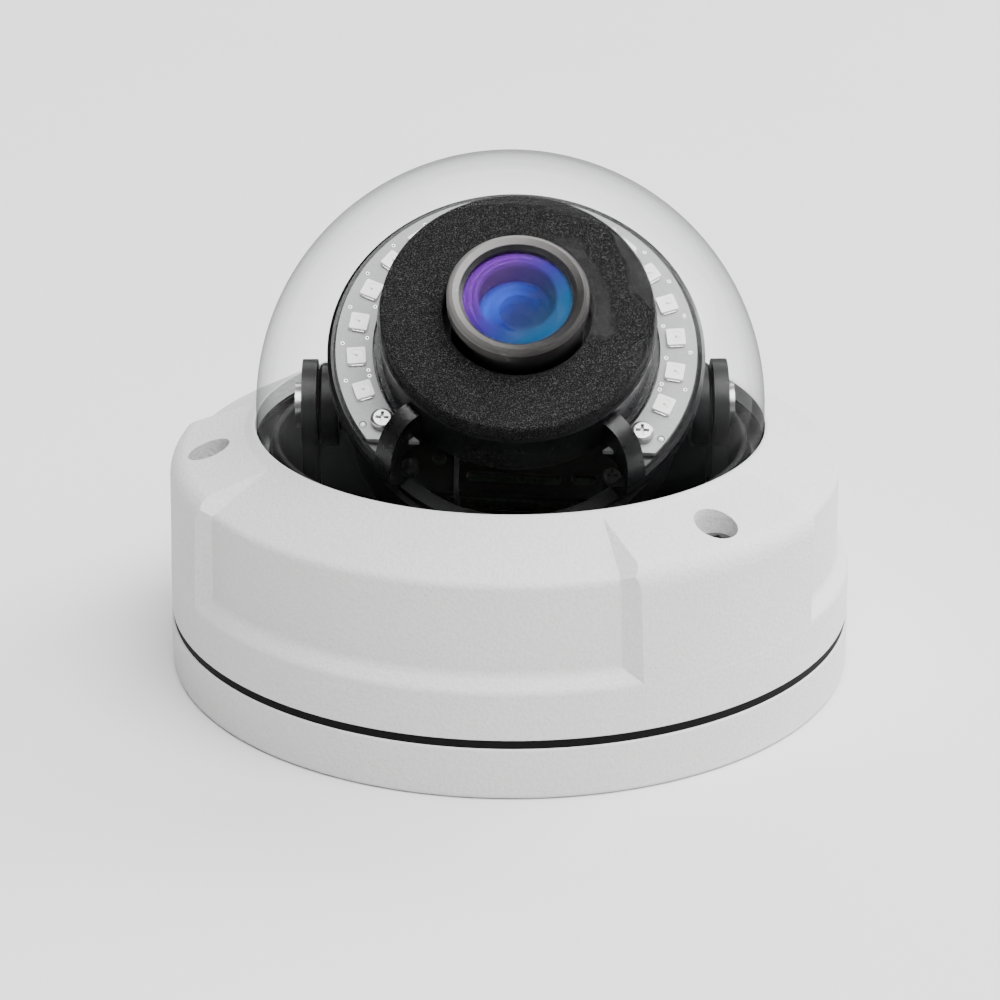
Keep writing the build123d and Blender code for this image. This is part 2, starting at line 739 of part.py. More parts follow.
with BuildPart() as processor_board:
    with BuildSketch(head_plane.offset(PROCESSOR_D)) as board_outline:
        Rectangle(32, 32)
        chamfer(board_outline.vertices(), 5)
    extrude(amount=SENSOR_BOARD_T)
    with BuildSketch(head_plane.offset(PROCESSOR_D)):
        Rectangle(12, 12)
    extrude(amount=-1.4)
processor_board.part.label = "processor_board"
export_step(processor_board.part, "parts/processor_board.step")

with BuildPart() as board_spacers:
    with BuildSketch(head_plane.offset(PROCESSOR_D + SENSOR_BOARD_T)):
        with GridLocations(24, 24, 2, 2):
            RegularPolygon(2.2, 6)
    extrude(amount=SENSOR_BOARD_D - PROCESSOR_D - SENSOR_BOARD_T)
board_spacers.part.label = "board_spacers"
export_step(board_spacers.part, "parts/board_spacers.step")

# Thin lead from the lens drive, round the lower edge of the plate to the sensor board
WIRE_R = 0.5
wire_plane = Plane(
    origin=Vector(*pivot) - head_plane.x_dir * 10.4,
    x_dir=head_plane.z_dir,
    z_dir=-head_plane.x_dir,
)

with BuildPart() as lens_wire:
    with BuildLine(wire_plane) as wire_route:
        FilletPolyline(
            (24.0, -20.9),
            (19.0, -21.6),
            (11.0, -25.6),
            (2.0, -24.6),
            (-4.0, -21.5),
            (-4.6, -16.4),
            radius=2.6,
        )
    with BuildSketch(Plane(origin=wire_route.line @ 0, z_dir=wire_route.line % 0)):
        Circle(WIRE_R)
    sweep()
lens_wire.part.label = "lens_wire"
export_step(lens_wire.part, "parts/lens_wire.step")

# ================================================================= zoom lens
TUBE_R = 11.5
SLEEVE_R = 9.9
RING_IN = TUBE_R + RUN
BARREL_FRONT = 39.0

with BuildPart() as lens_body:
    with BuildSketch(head_section):
        with BuildLine():
            Polyline(
                (6.0, -3.0),
                (NECK_R, -3.0),
                (NECK_R, 0),
                (15.0, 0),
                (15.0, 3.0),
                (13.5, 3.6),
                (13.5, 9.4),
                (TUBE_R, 9.4),
                (TUBE_R, 26.0),
                (SLEEVE_R + RUN, 26.0),
                (SLEEVE_R + RUN, 9.4),
                (6.0, 9.4),
                close=True,
            )
        make_face()
    revolve(axis=lens_axis)
lens_body.part.label = "lens_body"
export_step(lens_body.part, "parts/lens_body.step")

with BuildPart() as rear_element:
    with BuildSketch(head_section):
        with BuildLine():
            Polyline((0, 1.4), (6.0, 0.6), (6.0, 3.4), (0, 4.6), close=True)
        make_face()
    revolve(axis=lens_axis)
rear_element.part.label = "rear_element"
export_step(rear_element.part, "parts/rear_element.step")

RING_OUT = 16.2
LEVER_NECK = 2.4
ring_stations = {"zoom_ring": (9.9, 15.9), "focus_ring": (16.3, 22.5)}
for name, (back, front) in ring_stations.items():
    with BuildPart() as control_ring:
        with BuildSketch(head_plane.offset(back)):
            annulus(RING_OUT, RING_IN)
            with PolarLocations(RING_OUT + 0.2, 36):
                Circle(0.7, mode=Mode.SUBTRACT)
        extrude(amount=front - back)
    control_ring.part.label = name
    export_step(control_ring.part, f"parts/{name}.step")

lever_angles = {"zoom": -118, "focus": -62}
for name, angle in lever_angles.items():
    back, front = ring_stations[f"{name}_ring"]
    outward = head_plane.x_dir * cos(radians(angle)) + head_plane.y_dir * sin(radians(angle))
    seat = head_plane.offset((back + front) / 2).origin + outward * RING_OUT
    with BuildPart() as ring_lever:
        with BuildSketch(Plane(origin=seat, z_dir=outward)):
            Circle(1.2)
        extrude(amount=LEVER_NECK)
        with BuildSketch(Plane(origin=seat + outward * LEVER_NECK, z_dir=outward)):
            Circle(2.3)
            with PolarLocations(2.4, 12):
                Circle(0.35, mode=Mode.SUBTRACT)
        extrude(amount=3.2)
    ring_lever.part.label = f"{name}_lever"
    export_step(ring_lever.part, f"parts/{name}_lever.step")

with BuildPart() as lens_snap_ring:
    with BuildSketch(head_plane.offset(22.8)):
        annulus(13.4, TUBE_R)
    extrude(amount=0.8)
lens_snap_ring.part.label = "lens_snap_ring"
export_step(lens_snap_ring.part, "parts/lens_snap_ring.step")

with BuildPart() as front_barrel:
    with BuildSketch(head_section):
        with BuildLine():
            Polyline(
                (SLEEVE_R, 12.0),
                (SLEEVE_R, 27.4),
                (12.9, 27.4),
                (12.9, BARREL_FRONT),
                (10.5, BARREL_FRONT),
                (7.7, 35.2),
                (7.7, 33.0),
                (6.4, 33.0),
                (6.4, 12.0),
                close=True,
            )
        make_face()
    revolve(axis=lens_axis)
front_barrel.part.label = "front_barrel"
export_step(front_barrel.part, "parts/front_barrel.step")

with BuildPart() as bezel_ring:
    with BuildSketch(head_section):
        with BuildLine():
            Polyline(
                (11.3, BARREL_FRONT),
                (13.6, BARREL_FRONT),
                (13.6, 41.4),
                (13.1, 42.1),
                (12.5, 42.4),
                (11.3, 41.9),
                close=True,
            )
        make_face()
    revolve(axis=lens_axis)
bezel_ring.part.label = "bezel_ring"
export_step(bezel_ring.part, "parts/bezel_ring.step")

with BuildPart() as element_lock_ring:
    with BuildSketch(head_section):
        with BuildLine():
            Polyline((10.5, BARREL_FRONT), (11.3, BARREL_FRONT), (11.3, 41.6), (10.5, 41.0), close=True)
        make_face()
    revolve(axis=lens_axis)
element_lock_ring.part.label = "element_lock_ring"
export_step(element_lock_ring.part, "parts/element_lock_ring.step")

FRONT_APEX = 42.3

with BuildPart() as front_element:
    with BuildSketch(head_section):
        with Locations((5.25, FRONT_APEX - 1.6)):
            Rectangle(10.5, 3.2)
        with Locations((0, FRONT_APEX - 24.2)):
            Circle(24.2, mode=Mode.INTERSECT)
        with Locations((0, FRONT_APEX - 1.7 - 32.0)):
            Circle(32.0, mode=Mode.SUBTRACT)
    revolve(axis=lens_axis)
front_element.part.label = "front_element"
export_step(front_element.part, "parts/front_element.step")

with BuildPart() as second_element:
    with BuildSketch(head_section):
        with Locations((3.85, 34.8)):
            Rectangle(7.7, 3.2)
        with Locations((0, 36.3 - 16.0)):
            Circle(16.0, mode=Mode.INTERSECT)
    revolve(axis=lens_axis)
second_element.part.label = "second_element"
export_step(second_element.part, "parts/second_element.step")

with BuildPart() as iris_ring:
    with BuildSketch(head_section):
        with BuildLine():
            Polyline((3.2, 29.0), (6.4, 29.0), (6.4, 31.6), (5.2, 31.6), (3.2, 29.8), close=True)
        make_face()
    revolve(axis=lens_axis)
iris_ring.part.label = "iris_ring"
export_step(iris_ring.part, "parts/iris_ring.step")

# ================================================================= cover
WALL_FOOT_R = 67.1  # recessed wall between the pads
WALL_TOP_R = 66.8
WALL_TOP_Z = 42.2
PAD_TOP_R = 69.0
PAD_TOP_Z = 44.0
PAD_INNER_R = 54.0
PAD_INNER_Z = 49.2  # where a pad's top meets the cone
RIM_Z = 50.1
LAND_Z = 46.6  # underside of the rim, where the dome is clamped
POCKET_R = 55.3
CAVITY_R = 63.8
CAVITY_TOP = 40.4
COUNTERBORE_R = 4.2
COUNTERBORE_Z = 41.0
EAR_POCKET_Z = 43.4
EAR_R = 3.2
EAR_SCREW_R = 1.15
COLUMN_R = 4.4  # columns round the cover screws
COLUMN_HEAD_R = 5.8
COLUMN_HEAD_Z = 37.5
ABOVE = 60.0  # higher than anything that is cut
pad_screws = PolarLocations(SCREW_CIRCLE, 3, SCREW_AZIMUTH)
ear_spots = PolarLocations(CLAMP_EAR_R, 3, SCREW_AZIMUTH + 60)

with BuildPart() as cover_cavity:
    with BuildSketch(Plane.XZ):
        with BuildLine():
            Polyline(
                (0, 0),
                (CAVITY_R, 0),
                (CAVITY_R, CAVITY_TOP),
                (POCKET_R, 45.0),
                (POCKET_R, LAND_Z),
                (OPENING_R, LAND_Z),
                (OPENING_R, ABOVE),
                (0, ABOVE),
                close=True,
            )
        make_face()
    revolve(axis=Axis.Z)
    # Columns round the cover screws stay solid
    with BuildSketch():
        with pad_screws:
            Circle(COLUMN_R)
    extrude(amount=ABOVE, mode=Mode.SUBTRACT)
    with BuildSketch(Plane.XY.offset(COLUMN_HEAD_Z)):
        with pad_screws:
            Circle(COLUMN_HEAD_R)
    extrude(amount=10, mode=Mode.SUBTRACT)
    with BuildSketch(Plane.XY.offset(30)):
        with ear_spots:
            Circle(3.5)
    extrude(amount=EAR_POCKET_Z - 30)


PAD_BLANK_R = BASE_R + 5  # the pad is cut from a blank that reaches past the wall


def pad_point(radius, half_angle, height):
    """Point on a pad's side, at an angle from the +X axis, where the pad is drawn."""
    angle = radians(half_angle)
    return Vector(radius * cos(angle), radius * sin(angle), height)


with BuildPart() as screw_pad:
    with BuildSketch(Plane.XZ) as pad_profile:
        with BuildLine():
            Polyline(
                (45, COVER_Z + 6),
                (BASE_R - 0.3, COVER_Z + 6),
                (PAD_TOP_R, PAD_TOP_Z),
                (PAD_INNER_R, PAD_INNER_Z),
                (OPENING_R + 0.4, 49.9),
                (45, 45),
                close=True,
            )
        make_face()
        fillet(pad_profile.vertices().sort_by(Axis.X)[-2:].sort_by(Axis.Y)[-1], 5.0)
    revolve(axis=Axis.Z)
    with BuildSketch():
        with BuildLine():
            Polyline(
                (0, 0),
                pad_point(WALL_TOP_R, -RAMP_HALF_ANGLE, 0),
                pad_point(PAD_TOP_R + 0.6, -PAD_HALF_ANGLE, 0),
                (PAD_BLANK_R, pad_point(PAD_TOP_R, -PAD_HALF_ANGLE + 3, 0).Y),
                (PAD_BLANK_R, pad_point(PAD_TOP_R, PAD_HALF_ANGLE - 3, 0).Y),
                pad_point(PAD_TOP_R + 0.6, PAD_HALF_ANGLE, 0),
                pad_point(WALL_TOP_R, RAMP_HALF_ANGLE, 0),
                close=True,
            )
        make_face()
    extrude(amount=ABOVE, mode=Mode.INTERSECT)
    for side in (-1, 1):
        foot = pad_point(WALL_TOP_R, side * RAMP_HALF_ANGLE, WALL_TOP_Z)
        brow = pad_point(PAD_TOP_R, side * PAD_HALF_ANGLE, PAD_TOP_Z)
        apex = pad_point(PAD_INNER_R, side * (PAD_HALF_ANGLE + 2.2), PAD_INNER_Z)
        ramp = Plane(origin=foot, x_dir=brow - foot, z_dir=(apex - foot).cross(brow - foot) * side)
        split(bisect_by=ramp, keep=Keep.BOTTOM if ramp.z_dir.Z > 0 else Keep.TOP)

with BuildPart() as cover:
    with BuildSketch(Plane.XZ) as cover_profile:
        with BuildLine():
            Polyline(
                (0, COVER_Z),
                (BASE_R - 0.2, COVER_Z),
                (BASE_R - 0.35, 21.8),
                (WALL_FOOT_R, 24.4),
                (WALL_TOP_R, WALL_TOP_Z),
                (OPENING_R + 1.0, 49.9),
                (OPENING_R + 0.5, RIM_Z),
                (0, RIM_Z),
                close=True,
            )
        make_face()
        outer_corners = cover_profile.vertices().sort_by(Axis.X)
        fillet(outer_corners.filter_by_position(Axis.Y, 20, 23), 1.6)
        fillet(cover_profile.vertices().filter_by_position(Axis.Y, 24, 25), 2.4)
        fillet(cover_profile.vertices().filter_by_position(Axis.Y, 42, 43), 1.8)
    revolve(axis=Axis.Z)
    with PolarLocations(0, 3, SCREW_AZIMUTH):
        add(screw_pad.part)
    add(cover_cavity.part, mode=Mode.SUBTRACT)
    with BuildSketch(Plane.XY.offset(COUNTERBORE_Z)):
        with pad_screws:
            Circle(COUNTERBORE_R)
    extrude(amount=20, mode=Mode.SUBTRACT)
    with BuildSketch():
        with pad_screws:
            Circle(COVER_SCREW_R + GAP)
    extrude(amount=ABOVE, mode=Mode.SUBTRACT)
    with BuildSketch(Plane.XY.offset(EAR_POCKET_Z)):
        with ear_spots:
            Circle(EAR_SCREW_R)
    extrude(amount=2.2, mode=Mode.SUBTRACT)
cover.part.label = "cover"
export_step(cover.part, "parts/cover.step")

HEAD_Z = COUNTERBORE_Z + 2.6

with BuildPart() as cover_screws:
    with BuildSketch(Plane.XY.offset(FLOOR + 1.6)):
        with pad_screws:
            Circle(COVER_SCREW_R)
    extrude(amount=COUNTERBORE_Z - FLOOR - 1.6)
    with BuildSketch(Plane.XY.offset(COUNTERBORE_Z)):
        with pad_screws:
            Circle(3.7)
    extrude(amount=HEAD_Z - COUNTERBORE_Z)
    fillet(cover_screws.edges().group_by(Axis.Z)[-1], 0.9)
    with BuildSketch(Plane.XY.offset(HEAD_Z - 1.5)):
        with pad_screws:
            Circle(1.5)
            with PolarLocations(1.55, 6):
                Circle(0.42)
            Circle(0.45, mode=Mode.SUBTRACT)
    extrude(amount=2, mode=Mode.SUBTRACT)
cover_screws.part.label = "cover_screws"
export_step(cover_screws.part, "parts/cover_screws.step")

# ================================================================= dome and its clamp
FLANGE_R = 55.0
DOME_SEAL_T = 0.8
FLANGE_T = 2.4
CLAMP_T = 1.5
LINER_FLANGE_T = 1.0
flange_top = LAND_Z - DOME_SEAL_T
flange_z = flange_top - FLANGE_T
clamp_z = flange_z - CLAMP_T
liner_flange_z = clamp_z - LINER_FLANGE_T
dome_in = DOME_R - DOME_WALL

with BuildPart() as dome_seal:
    with BuildSketch(Plane.XY.offset(flange_top)):
        annulus(FLANGE_R, DOME_R + 0.5)
    extrude(amount=DOME_SEAL_T)
dome_seal.part.label = "dome_seal"
export_step(dome_seal.part, "parts/dome_seal.step")

with BuildPart() as dome:
    with BuildSketch(Plane.XZ):
        with BuildLine():
            outside = CenterArc((0, DOME_Z), DOME_R, 0, 90)
            inside = CenterArc((0, DOME_Z), dome_in, 0, 90)
            Line(outside @ 1, inside @ 1)
            Polyline(
                inside @ 0,
                (dome_in, flange_z),
                (FLANGE_R, flange_z),
                (FLANGE_R, flange_top),
                (DOME_R, flange_top),
                outside @ 0,
            )
        make_face()
    revolve(axis=Axis.Z)
dome.part.label = "dome"
export_step(dome.part, "parts/dome.step")

with BuildPart() as clamp_ring:
    with BuildSketch(Plane.XY.offset(clamp_z)):
        Circle(FLANGE_R)
        with ear_spots:
            Circle(EAR_R)
        Circle(dome_in + 0.3, mode=Mode.SUBTRACT)
        with ear_spots:
            Circle(1.3, mode=Mode.SUBTRACT)
    extrude(amount=CLAMP_T)
clamp_ring.part.label = "clamp_ring"
export_step(clamp_ring.part, "parts/clamp_ring.step")

LINER_FOOT = 16.5
LINER_TOP = 47.3

with BuildPart() as inner_liner:
    with BuildSketch(Plane.XY.offset(liner_flange_z)):
        Circle(FLANGE_R)
        with ear_spots:
            Circle(EAR_R)
        with ear_spots:
            Circle(1.3, mode=Mode.SUBTRACT)
    extrude(amount=LINER_FLANGE_T)
    with BuildSketch(Plane.XY.offset(LINER_FOOT)):
        Circle(LINER_R + LINER_WALL)
    extrude(amount=LINER_TOP - LINER_FOOT)
    with BuildSketch(Plane.XY.offset(LINER_FOOT)):
        Circle(LINER_R)
    extrude(amount=LINER_TOP - LINER_FOOT, mode=Mode.SUBTRACT)
    fillet(inner_liner.edges().group_by(Axis.Z)[-1], 0.6)
inner_liner.part.label = "inner_liner"
export_step(inner_liner.part, "parts/inner_liner.step")

with BuildPart() as clamp_screws:
    with BuildSketch(Plane.XY.offset(liner_flange_z)):
        with ear_spots:
            Circle(EAR_SCREW_R)
    extrude(amount=45.2 - liner_flange_z)
    with BuildSketch(Plane.XY.offset(liner_flange_z - 1.4)):
        with ear_spots:
            Circle(2.4)
    extrude(amount=1.4)
    fillet(clamp_screws.edges().group_by(Axis.Z)[0], 0.5)
clamp_screws.part.label = "clamp_screws"
export_step(clamp_screws.part, "parts/clamp_screws.step")
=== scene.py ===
import json
import math
import random

import bmesh
import bpy
from mathutils import Matrix, Vector


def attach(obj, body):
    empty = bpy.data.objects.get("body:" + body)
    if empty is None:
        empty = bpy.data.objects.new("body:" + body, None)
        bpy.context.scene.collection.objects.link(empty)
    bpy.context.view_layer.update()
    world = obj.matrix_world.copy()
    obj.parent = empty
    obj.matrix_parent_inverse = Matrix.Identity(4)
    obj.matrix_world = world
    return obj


# Looks of the dome security camera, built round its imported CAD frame. Textures and drawn pieces are in
# millimetres, the relief of a surface is in microns, and the lights and the camera are placed in metres.
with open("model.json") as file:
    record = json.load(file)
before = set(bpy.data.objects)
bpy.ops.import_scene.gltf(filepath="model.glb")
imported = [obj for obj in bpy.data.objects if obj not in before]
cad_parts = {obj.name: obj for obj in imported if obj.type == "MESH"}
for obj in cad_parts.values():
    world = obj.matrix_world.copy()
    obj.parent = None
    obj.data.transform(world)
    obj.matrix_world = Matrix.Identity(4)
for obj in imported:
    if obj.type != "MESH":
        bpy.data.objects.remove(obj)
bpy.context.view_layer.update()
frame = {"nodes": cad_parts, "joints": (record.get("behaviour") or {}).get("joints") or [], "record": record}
nodes = frame["nodes"]

MM = 0.001
PER_M = 1000.0  # millimetres in a metre, the scale of the texture spaces
MICRON = 0.000001

# ---------------------------------------------------------------- places, from the frame's joints
joints = {joint["name"]: joint for joint in frame["joints"]}
PIVOT = Vector(joints["tilt"]["pos_m"])
HINGE = Vector(joints["tilt"]["axis"]).normalized()
LENS = Vector(joints["roll"]["axis"]).normalized()
ROLL_REST = math.radians(-3.4)  # how far the head is rolled at rest

tilt_y = LENS.cross(HINGE)
head_x = HINGE * math.cos(ROLL_REST) + tilt_y * math.sin(ROLL_REST)
head_y = LENS.cross(head_x)
HEAD = Matrix((head_x, head_y, LENS)).transposed().to_4x4()
HEAD.translation = PIVOT  # x to the right of the lens, y to its top, z out along it
WORLD = Matrix.Identity(4)


# ---------------------------------------------------------------- shader helpers
def node(tree, kind, inputs=None, **settings):
    """A new shader node; each input takes a plain value or the socket that feeds it."""
    made = tree.nodes.new(kind)
    for name, value in settings.items():
        setattr(made, name, value)
    for socket, value in (inputs or {}).items():
        if isinstance(value, bpy.types.NodeSocket):
            tree.links.new(value, made.inputs[socket])
        else:
            made.inputs[socket].default_value = value
    return made


def space(tree, matrix=WORLD):
    """Object coordinates in millimetres, in the frame of matrix, so that textures ride with the piece."""
    inverse = matrix.inverted()
    return node(
        tree,
        "ShaderNodeMapping",
        {
            "Vector": node(tree, "ShaderNodeTexCoord").outputs["Object"],
            "Location": inverse.translation * PER_M,
            "Rotation": inverse.to_euler(),
            "Scale": (PER_M, PER_M, PER_M),
        },
    ).outputs["Vector"]


def noise(tree, vector, per_mm, detail=2.0, roughness=0.5):
    inputs = {"Vector": vector, "Scale": per_mm, "Detail": detail, "Roughness": roughness}
    return node(tree, "ShaderNodeTexNoise", inputs).outputs["Fac"]


def cells(tree, vector, per_mm, feature="F1"):
    inputs = {"Vector": vector, "Scale": per_mm}
    return node(tree, "ShaderNodeTexVoronoi", inputs, feature=feature).outputs["Distance"]


def noise_along(tree, distance, per_mm, detail):
    """Noise that changes only with distance, such as rings about an axis."""
    inputs = {"W": distance, "Scale": per_mm, "Detail": detail}
    return node(tree, "ShaderNodeTexNoise", inputs, noise_dimensions="1D").outputs["Fac"]


def maths(tree, operation, first, second):
    return node(tree, "ShaderNodeMath", {0: first, 1: second}, operation=operation).outputs[0]


def weighted(tree, first, first_weight, second, second_weight):
    """The sum of two values, each times its weight."""
    return maths(
        tree,
        "ADD",
        maths(tree, "MULTIPLY", first, first_weight),
        maths(tree, "MULTIPLY", second, second_weight),
    )


def spread(tree, value, low, high, to_low=0.0, to_high=1.0):
    """value stretched from low..high to to_low..to_high, and held at the ends."""
    inputs = {"Value": value, "From Min": low, "From Max": high, "To Min": to_low, "To Max": to_high}
    return node(tree, "ShaderNodeMapRange", inputs).outputs["Result"]


NOISE_LOW, NOISE_HIGH = 0.3, 0.7  # where most of a noise texture's values lie


def over_noise(tree, value, to_low, to_high):
    """A noise value stretched to to_low..to_high."""
    return spread(tree, value, NOISE_LOW, NOISE_HIGH, to_low, to_high)


def ramp(tree, fac, *stops):
    """Colour along fac; each stop is (position, (r, g, b))."""
    made = node(tree, "ShaderNodeValToRGB", {"Fac": fac})
    elements = made.color_ramp.elements
    while len(elements) < len(stops):
        elements.new(0.5)
    for element, (position, colour) in zip(elements, stops):
        element.position = position
        element.color = (*colour, 1.0)
    return made.outputs["Color"]


def blend_colours(tree, fac, first, second):
    inputs = {0: fac, 6: first, 7: second}
    return node(tree, "ShaderNodeMix", inputs, data_type="RGBA").outputs[2]


def relief(tree, height, microns, strength=1.0):
    """A bump whose full height is that many microns."""
    inputs = {"Height": height, "Distance": microns * MICRON, "Strength": strength}
    return node(tree, "ShaderNodeBump", inputs).outputs["Normal"]


def along_axis(tree, vector):
    """Distance from the local z axis, and height along it, in millimetres."""
    split = node(tree, "ShaderNodeSeparateXYZ", {"Vector": vector})
    flat = node(tree, "ShaderNodeCombineXYZ", {"X": split.outputs["X"], "Y": split.outputs["Y"]})
    radius = node(tree, "ShaderNodeVectorMath", {0: flat.outputs["Vector"]}, operation="LENGTH")
    return radius.outputs["Value"], split.outputs["Z"]


def new_material(name, **sockets):
    """A Principled material with these values on its sockets; returns material, node tree and shader."""
    made = bpy.data.materials.new(name)
    made.use_nodes = True
    shader = made.node_tree.nodes["Principled BSDF"]
    for socket, value in sockets.items():
        shader.inputs[socket.replace("_", " ")].default_value = value
    return made, made.node_tree, shader


def feed(tree, shader, **sockets):
    for socket, value in sockets.items():
        tree.links.new(value, shader.inputs[socket.replace("_", " ")])


# ---------------------------------------------------------------- materials
BROAD_PER_MM = 0.09


def grained(name, dark, light, per_mm, microns, rough, matrix=WORLD, **sockets):
    """A surface with a fine even grain: its colour and roughness follow the grain, and its relief too."""
    material, tree, shader = new_material(name, **sockets)
    here = space(tree, matrix)
    fine = noise(tree, here, per_mm, 3.0, 0.6)
    broad = noise(tree, here, BROAD_PER_MM)
    tone = weighted(tree, fine, 0.7, broad, 0.3)
    feed(
        tree,
        shader,
        Base_Color=ramp(tree, tone, (NOISE_LOW, dark), (NOISE_HIGH, light)),
        Roughness=over_noise(tree, tone, *rough),
        Normal=relief(tree, fine, microns),
    )
    return material


def powder_coat():
    """White cast housing under a leather-grained powder coat."""
    material, tree, shader = new_material("white_powder_coat", Specular_IOR_Level=0.45)
    here = space(tree)
    bead = cells(tree, here, 1.55, "SMOOTH_F1")
    fine = noise(tree, here, 3.4, 3.0, 0.65)
    broad = noise(tree, here, 0.06)
    pits = spread(tree, noise(tree, here, 1.9), 0.29, 0.24)
    grain = weighted(tree, bead, 0.75, fine, 0.6)
    coat = ramp(tree, grain, (0.25, (0.58, 0.58, 0.577)), (0.75, (0.66, 0.66, 0.656)))
    aged = blend_colours(tree, spread(tree, broad, 0.35, 0.7, 0.0, 0.35), coat, (0.61, 0.61, 0.606, 1.0))
    feed(
        tree,
        shader,
        Base_Color=blend_colours(tree, pits, aged, (0.42, 0.42, 0.41, 1.0)),
        Roughness=spread(tree, grain, 0.2, 0.9, 0.62, 0.46),
        Normal=relief(tree, grain, 160, 0.9),
    )
    return material


def turned(name, dark, light, rough, lines_per_mm, **sockets):
    """Metal turned on a lathe about the lens axis: fine rings on faces and round the barrel."""
    material, tree, shader = new_material(name, **sockets)
    here = space(tree, HEAD)
    radius, height = along_axis(tree, here)
    rings = noise_along(tree, maths(tree, "ADD", radius, height), lines_per_mm, 2.0)
    tone = weighted(tree, rings, 0.5, noise(tree, here, 0.35, 3.0), 0.5)
    feed(
        tree,
        shader,
        Base_Color=ramp(tree, tone, (NOISE_LOW, dark), (NOISE_HIGH, light)),
        Roughness=over_noise(tree, tone, *rough),
        Normal=relief(tree, rings, 12, 0.6),
    )
    return material


BEZEL_REACH = 17.0


# The direction along which the bezel's painted shade and the lens glass's painted reflections run.
def slant_across(tree, vector, reach):
    """0 at the upper left of the lens, seen from in front, to 1 at its lower right."""
    split = node(tree, "ShaderNodeSeparateXYZ", {"Vector": vector})
    slant = maths(tree, "SUBTRACT", split.outputs["X"], maths(tree, "MULTIPLY", split.outputs["Y"], 0.75))
    return spread(tree, slant, -reach, reach)


def bezel_with_painted_shade():
    """Front ring of the lens: turned alloy with painted light and shade, pale grey at its upper left to warm
    dark grey at its lower right.
    """
    material, tree, shader = new_material("turned_bezel_painted_shade", Metallic=0.2, Specular_IOR_Level=0.3)
    here = space(tree, HEAD)
    radius, height = along_axis(tree, here)
    rings = noise_along(tree, maths(tree, "ADD", radius, height), 6.0, 2.0)
    # Painted highlight and shade across the ring: pale at its upper left, dark at its lower right.
    stops = (0.1, (0.20, 0.195, 0.19)), (0.5, (0.10, 0.095, 0.09)), (0.85, (0.012, 0.0095, 0.009))
    tone = ramp(tree, slant_across(tree, here, BEZEL_REACH), *stops)
    feed(
        tree,
        shader,
        Base_Color=blend_colours(tree, over_noise(tree, rings, 0.0, 0.25), tone, (0.02, 0.02, 0.02, 1.0)),
        Roughness=over_noise(tree, rings, 0.34, 0.46),
        Normal=relief(tree, rings, 12, 0.6),
    )
    return material


def foam():
    """Closed-cell foam: open pits between bright skins of cut cells."""
    material, tree, shader = new_material("grainy_foam", Specular_IOR_Level=0.06)
    here = space(tree, HEAD)
    cell = cells(tree, here, 4.4)
    fine = noise(tree, here, 5.6, 2.0, 0.7)
    grain = weighted(tree, cell, 0.6, fine, 0.7)
    stops = (0.45, (0.0015, 0.0015, 0.0015)), (0.68, (0.007, 0.007, 0.0072)), (0.9, (0.05, 0.05, 0.05))
    feed(
        tree,
        shader,
        Base_Color=ramp(tree, grain, *stops),
        Roughness=spread(tree, grain, 0.4, 0.8, 0.85, 0.5),
        Normal=relief(tree, grain, 220),
    )
    return material


DOME_CENTRE = (0.0, 0.0, PIVOT.z * PER_M)  # the bubble is round about the height of the tilt axis
BETWEEN_SKINS = 49.8, 50.6  # radii inside the wall, past the inner face and short of the outer one
MIRROR_GRAZING, MIRROR_FACING = 0.12, 0.0012


def clear_dome():
    """Moulded polycarbonate: a faint mirror, and an outer face with a painted shade that greys it where it is
    seen edge on.
    """
    material = bpy.data.materials.new("clear_polycarbonate")
    material.use_nodes = True
    tree = material.node_tree
    tree.nodes.remove(tree.nodes["Principled BSDF"])
    facing = node(tree, "ShaderNodeLayerWeight", {"Blend": 0.5}).outputs["Facing"]
    # Painted shade: the outer face darkens towards its edge as seen, with a thin darker line just inside it.
    stops = (
        (0.0, (0.998, 0.998, 0.998)),
        (0.42, (0.985, 0.986, 0.987)),
        (0.62, (0.90, 0.902, 0.904)),
        (0.8, (0.66, 0.664, 0.668)),
        (0.95, (0.38, 0.384, 0.388)),
        (1.0, (0.5, 0.504, 0.508)),
    )
    off_centre = node(tree, "ShaderNodeVectorMath", {0: space(tree), 1: DOME_CENTRE}, operation="SUBTRACT")
    reach = node(tree, "ShaderNodeVectorMath", {0: off_centre.outputs["Vector"]}, operation="LENGTH")
    outer_skin = spread(tree, reach.outputs["Value"], *BETWEEN_SKINS)
    painted_edge_shade = blend_colours(tree, outer_skin, (0.992, 0.993, 0.994, 1.0), ramp(tree, facing, *stops))
    swirl = noise(tree, space(tree), 0.05)
    through = node(tree, "ShaderNodeBsdfTransparent", {"Color": painted_edge_shade})
    mirror = node(
        tree,
        "ShaderNodeBsdfGlossy",
        {"Roughness": over_noise(tree, swirl, 0.02, 0.05), "Color": (1.0, 1.0, 1.0, 1.0)},
    )
    grazing = maths(tree, "POWER", facing, 5.0)
    share = maths(tree, "ADD", maths(tree, "MULTIPLY", grazing, MIRROR_GRAZING), MIRROR_FACING)
    both = node(tree, "ShaderNodeMixShader", {0: share, 1: through.outputs[0], 2: mirror.outputs[0]})
    tree.links.new(both.outputs[0], tree.nodes["Material Output"].inputs["Surface"])
    return material


RING_INK = (0.006, 0.004, 0.03, 1.0)


